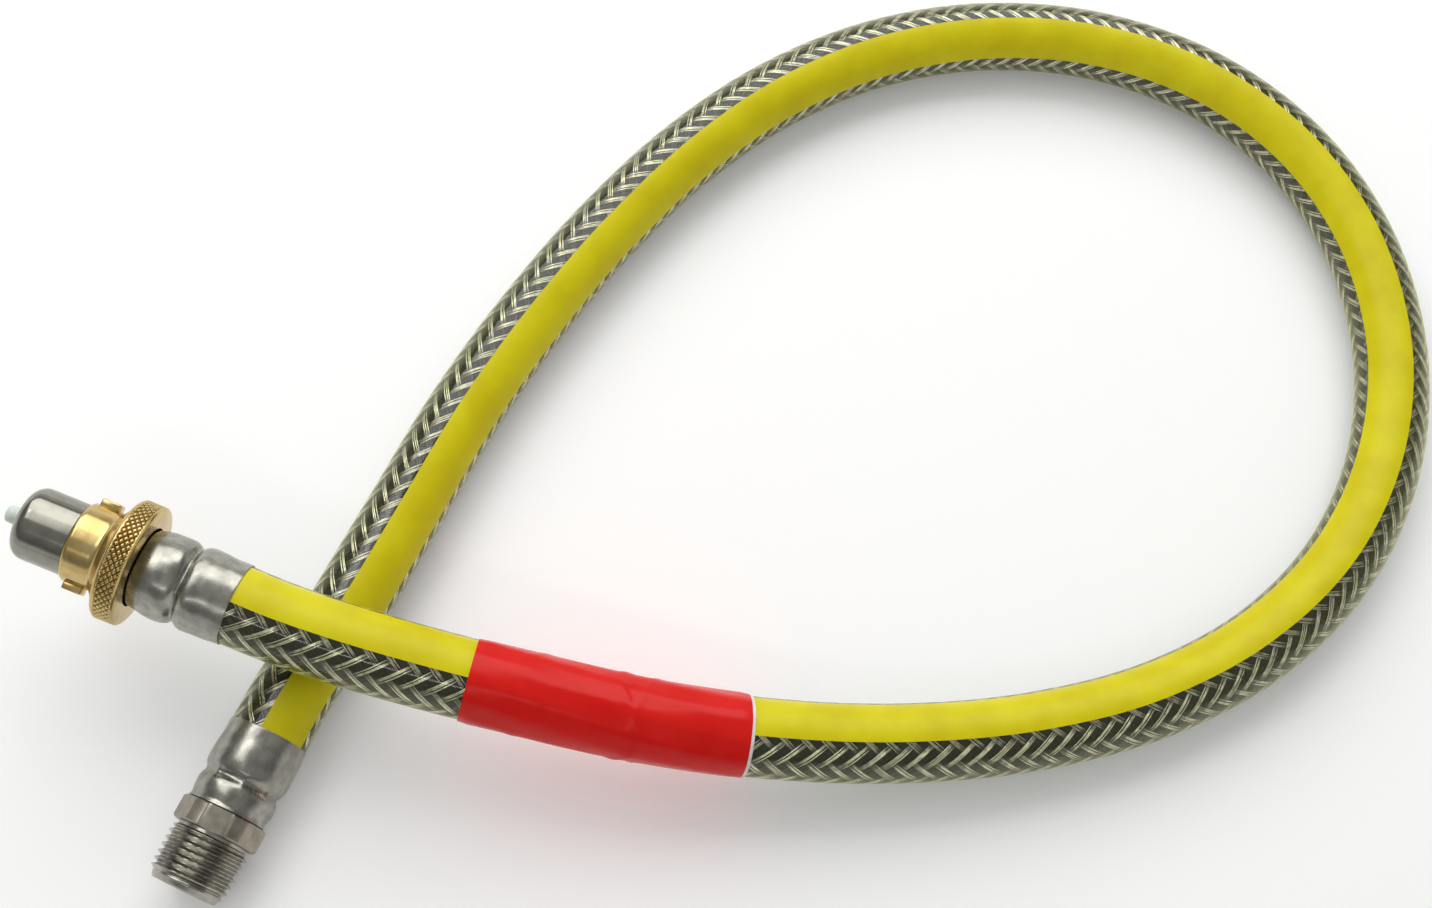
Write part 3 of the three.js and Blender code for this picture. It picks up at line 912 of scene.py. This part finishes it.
nose_profile = [
    (SOCKET_RADIUS, JOURNAL_BACK),
    (JOURNAL_RADIUS, JOURNAL_BACK),
    (JOURNAL_RADIUS, CIRCLIP_GROOVE[0]),
    (CIRCLIP_GROOVE_RADIUS, CIRCLIP_GROOVE[0]),
    (CIRCLIP_GROOVE_RADIUS, CIRCLIP_GROOVE[1]),
    (JOURNAL_RADIUS, CIRCLIP_GROOVE[1]),
    (JOURNAL_RADIUS, SHOULDER),
    (NOSE_RADIUS - SHOULDER_CHAMFER, SHOULDER),
    (NOSE_RADIUS, SHOULDER + SHOULDER_CHAMFER),
    *[(NOSE_RADIUS, SHOULDER + SHOULDER_CHAMFER + 0.5 * i) for i in range(1, 22)],
    *arc((NOSE_RADIUS - NOSE_ROUNDING, NOSE_FACE - NOSE_ROUNDING), NOSE_ROUNDING, 0, 90, 16),
    (PIN_HOLE_RADIUS + PIN_HOLE_CHAMFER, NOSE_FACE),
    (PIN_HOLE_RADIUS, NOSE_FACE - PIN_HOLE_CHAMFER),
    (PIN_HOLE_RADIUS, SEAT),
    (CHAMBER_RADIUS, SEAT),
    (CHAMBER_RADIUS, CHAMBER_BACK),
    (SOCKET_RADIUS, CHAMBER_BACK),
]
nose = dress(
    turned("nose", nose_profile, around=128, place=PLUG_FRAME, sharp=35),
    "hose_body",
    "turned_steel",
    TURNED_STEEL,
)
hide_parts("plug_nose")

PIN_TIP = NOSE_FACE + 4.4
PIN_RADIUS = 2.2
PIN_ROUNDING = 1.0
STEM_RADIUS = 1.8
STEM_BACK = 34.0
DISC_RADIUS = 5.3
DISC_BACK = SEAT - 4.8
DISC_FRONT = SEAT - 2
# The profile keeps just off the axis, so its ends join round a hole too fine to see.
NEAR_AXIS = 0.02

spindle_profile = [
    (NEAR_AXIS, STEM_BACK),
    (STEM_RADIUS, STEM_BACK),
    (STEM_RADIUS, DISC_BACK),
    (DISC_RADIUS, DISC_BACK),
    (DISC_RADIUS, DISC_FRONT),
    (PIN_RADIUS, DISC_FRONT),
    *[(PIN_RADIUS, along) for along in (52, 54.5, 57, 58.5)],
    *arc((PIN_RADIUS - PIN_ROUNDING, PIN_TIP - PIN_ROUNDING), PIN_ROUNDING, 0, 90, 8),
    (NEAR_AXIS, PIN_TIP),
]
spindle = dress(
    turned("spindle", spindle_profile, around=48, place=PLUG_FRAME, sharp=35),
    "spindle",
    "nylon",
    NYLON,
)
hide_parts("valve_spindle")

FLANGE_RADIUS = 15.7
FLANGE_BACK = 24.9
KNURL_FROM = 25.5
KNURL_TO = 30.0
KNURL_AROUND = 52
KNURL_HEIGHT = 1.5
KNURL_DEPTH = 0.5
# Height of a row of the collar's mesh, fine enough to carry the diamonds.
KNURL_ROW = 0.13
SLEEVE_RADIUS = 10.3
SLEEVE_FROM = 34.4
SLEEVE_END = 41.7
SLEEVE_CHAMFER = 0.3
COUNTERBORE_RADIUS = 10.4
COUNTERBORE_END = 30.6
RUNNING_FIT = 0.08


def knurl(radius, along, angle):
    """Diamond knurl: two crossing sets of V grooves, cut only into the flange's rim."""
    around = KNURL_AROUND * angle / TURN
    up = (along - KNURL_FROM) / KNURL_HEIGHT
    first = np.abs((around + up) % 1 - 0.5) * 2
    second = np.abs((around - up) % 1 - 0.5) * 2
    groove = np.maximum(first, second) ** 4
    on_rim = (radius > FLANGE_RADIUS - 0.05) & (along > KNURL_FROM) & (along < KNURL_TO)
    fade = np.clip(np.minimum(along - KNURL_FROM, KNURL_TO - along) / 0.3, 0, 1)
    return np.where(on_rim, radius - KNURL_DEPTH * groove * fade, radius)


collar_profile = [
    (COUNTERBORE_RADIUS, FLANGE_BACK),
    (14.9, FLANGE_BACK),
    (15.35, FLANGE_BACK + 0.15),
    (FLANGE_RADIUS, FLANGE_BACK + 0.5),
    *[(FLANGE_RADIUS, KNURL_FROM + 0.001 + i * KNURL_ROW) for i in range(36)],
    (FLANGE_RADIUS, 30.3),
    (15.3, 30.9),
    (14.8, 31.2),
    (13.0, 32.1),
    (11.4, 33.1),
    (10.5, 33.9),
    (SLEEVE_RADIUS, SLEEVE_FROM),
    *[(SLEEVE_RADIUS, SLEEVE_FROM + i * 0.8) for i in range(1, 9)],
    (SLEEVE_RADIUS, SLEEVE_END - SLEEVE_CHAMFER),
    (SLEEVE_RADIUS - 0.25, SLEEVE_END),
    (JOURNAL_RADIUS + RUNNING_FIT, SLEEVE_END),
    (JOURNAL_RADIUS + RUNNING_FIT, COUNTERBORE_END),
    (COUNTERBORE_RADIUS, COUNTERBORE_END),
]
collar = dress(
    turned("collar", collar_profile, around=720, reshape=knurl, place=PLUG_FRAME, sharp=40),
    "collar",
    "brass",
    TURNED_BRASS,
)
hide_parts("bayonet_collar")

# The grooves between the diamonds get a darker, rougher brass: painted shade in the grooves.
GROOVE_SHADE_FROM = FLANGE_RADIUS - 0.6
GROOVE_SHADE_TO = FLANGE_RADIUS - 0.25
collar.data.materials.append(GROOVE_SHADED_BRASS)
for face in collar.data.polygons:
    reach = math.hypot(face.center.x, face.center.y) / MM
    along = face.center.z / MM
    if KNURL_FROM < along < KNURL_TO and GROOVE_SHADE_FROM < reach < GROOVE_SHADE_TO:
        face.material_index = 1

LUG_REACH = (9.9, 12.0)
LUG_WIDTH = 4.8
LUG_ALONG = (35.5, 40.5)
LUG_ROUNDING = 0.45
LUG_TURN = 10.7
BOX_FACES = [(0, 1, 3, 2), (4, 6, 7, 5), (0, 4, 5, 1), (2, 3, 7, 6), (0, 2, 6, 4), (1, 5, 7, 3)]


def lug(name, side):
    """Bayonet lug: a block with rounded edges standing on the sleeve."""
    half_width = LUG_WIDTH / 2
    corners = [(x, y, z) for x in LUG_REACH for y in (-half_width, half_width) for z in LUG_ALONG]
    made = new_mesh(name, [Vector(corner) * MM for corner in corners], BOX_FACES, 180)
    soften = made.modifiers.new("rounded_edges", "BEVEL")
    soften.width = LUG_ROUNDING * MM
    soften.segments = 3
    half_turn = 0 if side > 0 else math.pi
    turn = Matrix.Rotation(half_turn - math.radians(LUG_TURN), 4, "Z")
    made.matrix_world = PLUG_FRAME @ turn
    return dress(made, "collar", "brass", TURNED_BRASS)


lug("lug_back", -1)
lug("lug_front", 1)


# Threaded end.

THREAD_FROM = 28.7
THREAD_TO = 41.2
FITTING_END = 42.4
THREAD_PITCH = 1.814
THREAD_DEPTH = 1.16
GAUGE_RADIUS = 10.477
ACROSS_FLATS = 21.0
HEX_FROM = 21.5
HEX_TO = 27.7
HEX_TURN = 8.0
CORNER_RADIUS = 11.2
TAIL_BORE = 4.2
THREAD_BORE = 6.6
THREAD_TAPER = 1 / 32
THREAD_ROWS = 170
CREST_ROUNDING = 0.08
# Flats and threads are cut only outside this radius, so they leave the bore alone.
BORE_LIMIT = 8


def taper_thread(radius, along, angle):
    """Right-handed V thread with rounded crests on the taper, run out at both ends."""
    on_thread = (along > THREAD_FROM - 0.01) & (along < THREAD_TO + 0.01)
    phase = (along / THREAD_PITCH - angle / TURN) % 1
    ridge = 1 - np.abs(2 * phase - 1)
    ridge = np.clip((ridge - CREST_ROUNDING) / (1 - 2 * CREST_ROUNDING), 0, 1)
    run_in = np.clip((THREAD_TO - along) / THREAD_PITCH + 0.15, 0, 1)
    run_out = np.clip((along - THREAD_FROM) / 0.5, 0, 1)
    depth = THREAD_DEPTH * (1 - ridge * run_in * run_out)
    return np.where(on_thread & (radius > BORE_LIMIT), radius - depth, radius)


thread_profile = [
    (6.7, 20.4),
    (6.7, HEX_TO - 0.7),
    (9.15, HEX_TO - 0.7),
    (9.15, THREAD_FROM - 0.2),
    *[
        (GAUGE_RADIUS - (along - THREAD_FROM) * THREAD_TAPER, along)
        for along in np.linspace(THREAD_FROM, THREAD_TO - 0.1, THREAD_ROWS)
    ],
    (8.9, THREAD_TO + 0.1),
    (8.5, FITTING_END - 0.15),
    (8.3, FITTING_END),
    (6.9, FITTING_END),
    (THREAD_BORE, FITTING_END - 0.3),
    (THREAD_BORE, HEX_TO - 1),
    (TAIL_BORE, HEX_TO - 3.4),
    (TAIL_BORE, 20.4),
]
thread = dress(
    turned(
        "taper_thread",
        thread_profile,
        around=160,
        reshape=taper_thread,
        place=THREAD_FRAME,
        sharp=35,
    ),
    "hose_body",
    "plated_steel",
    PLATED_STEEL,
)
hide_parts("thread_fitting")


def hexagon(radius, along, angle):
    """Hexagon: the turned envelope is cut back to the six flats."""
    turned_by = math.radians(HEX_TURN)
    sixth = (angle + turned_by + math.pi / 6 + math.pi / 2) % (math.pi / 3) - math.pi / 6
    flat = ACROSS_FLATS / 2 / np.cos(sixth)
    return np.where(radius > BORE_LIMIT, np.minimum(radius, flat), radius)


hex_profile = [
    (6.8, HEX_FROM),
    (10.3, HEX_FROM),
    (10.8, HEX_FROM + 0.15),
    (CORNER_RADIUS, HEX_FROM + 0.5),
    (CORNER_RADIUS, HEX_TO - 0.6),
    (10.8, HEX_TO - 0.2),
    (10.2, HEX_TO),
    (6.8, HEX_TO),
]
hexagon_piece = dress(
    turned("hexagon", hex_profile, around=360, reshape=hexagon, place=THREAD_FRAME, sharp=25),
    "hose_body",
    "plated_steel",
    MILLED_STEEL,
)


# Inner CAD pieces that stay, with their finishes.

KEPT = {
    "plug_tail": TURNED_STEEL,
    "collar_circlip": TURNED_STEEL,
    "valve_spring": TURNED_STEEL,
    "spring_retainer": TURNED_BRASS,
    "spindle_seal": SEAL_RUBBER,
}
for name, material in KEPT.items():
    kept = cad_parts[name]
    kept.data.materials.clear()
    kept.data.materials.append(material)


# Floor, world and lights, in metres.

# So wide that low views see no edge of the floor, only a level horizon.
FLOOR_REACH = 40
SEEN_GLOW = 0.14


def floor():
    """Pale floor in matt paint.

    It glows a little where it is looked at, also in metal and through the clear jacket, and comes out
    as white as the photograph's ground. The glow lights nothing, since diffuse rays don't see it.
    """
    corners = [(-1, -1, 0), (1, -1, 0), (1, 1, 0), (-1, 1, 0)]
    made = new_mesh("floor", [FLOOR_REACH * Vector(corner) for corner in corners], [(0, 1, 2, 3)])
    paint, tree, shader = new_material("floor_paint", Roughness=0.9, Base_Color=linear("#fcfcfb"))
    seen = node(tree, "ShaderNodeLightPath")
    by_mirrors = node(
        tree,
        "ShaderNodeMath",
        {0: seen.outputs["Is Glossy Ray"], 1: seen.outputs["Is Transmission Ray"]},
        operation="MAXIMUM",
    )
    by_all = node(
        tree,
        "ShaderNodeMath",
        {0: seen.outputs["Is Camera Ray"], 1: by_mirrors.outputs["Value"]},
        operation="MAXIMUM",
    )
    lift = node(tree, "ShaderNodeMath", {0: by_all.outputs["Value"]}, operation="MULTIPLY")
    lift.inputs[1].default_value = SEEN_GLOW
    tree.links.new(lift.outputs["Value"], shader.inputs["Emission Strength"])
    made.data.materials.append(paint)
    return made


floor()

world = bpy.data.worlds.new("studio")
bpy.context.scene.world = world
world.use_nodes = True
sky = world.node_tree
direction = node(sky, "ShaderNodeTexCoord")
height = node(sky, "ShaderNodeSeparateXYZ", {"Vector": direction.outputs["Generated"]})
shade = node(sky, "ShaderNodeValToRGB", {"Fac": height.outputs["Z"]})
# Pale backdrop up to eight degrees above the horizon, a dark band over it, and a dim ceiling.
for element, (position, grey) in zip(shade.color_ramp.elements, ((0.14, 0.8), (1.0, 0.45))):
    element.position = position
    element.color = (grey, grey, grey, 1)
dark_band = shade.color_ramp.elements.new(0.3)
dark_band.color = (0.2, 0.2, 0.2, 1)
sky.links.new(shade.outputs["Color"], sky.nodes["Background"].inputs["Color"])


LOOP_MIDDLE = Vector((0.12, 0.08, 0))


def soft_box(name, heading, lean, distance, width, height, brightness):
    """A rectangular studio light over the loop, leaning from overhead towards a heading.

    Angles are in degrees. A brightness of 1 looks like lit white paper in a mirror.
    """
    data = bpy.data.lights.new(name, "AREA")
    data.shape = "RECTANGLE"
    data.size, data.size_y = width, height
    data.energy = brightness * math.pi * width * height
    lamp = bpy.data.objects.new(name, data)
    h, from_top = math.radians(heading), math.radians(lean)
    away = Vector((math.sin(from_top) * math.cos(h), math.sin(from_top) * math.sin(h), math.cos(from_top)))
    lamp.location = LOOP_MIDDLE + distance * away
    lamp.rotation_euler = away.to_track_quat("Z", "Y").to_euler()
    bpy.context.scene.collection.objects.link(lamp)


soft_box("back_light", 95, lean=44, distance=1.3, width=1.6, height=1.1, brightness=2.4)
soft_box("upper_left_light", 153, lean=27, distance=1.2, width=0.5, height=0.5, brightness=1.7)
soft_box("front_strip", 250, lean=42, distance=1.2, width=0.6, height=0.07, brightness=4.0)

scene = bpy.context.scene
scene.view_settings.view_transform = "Standard"
scene.view_settings.look = "None"
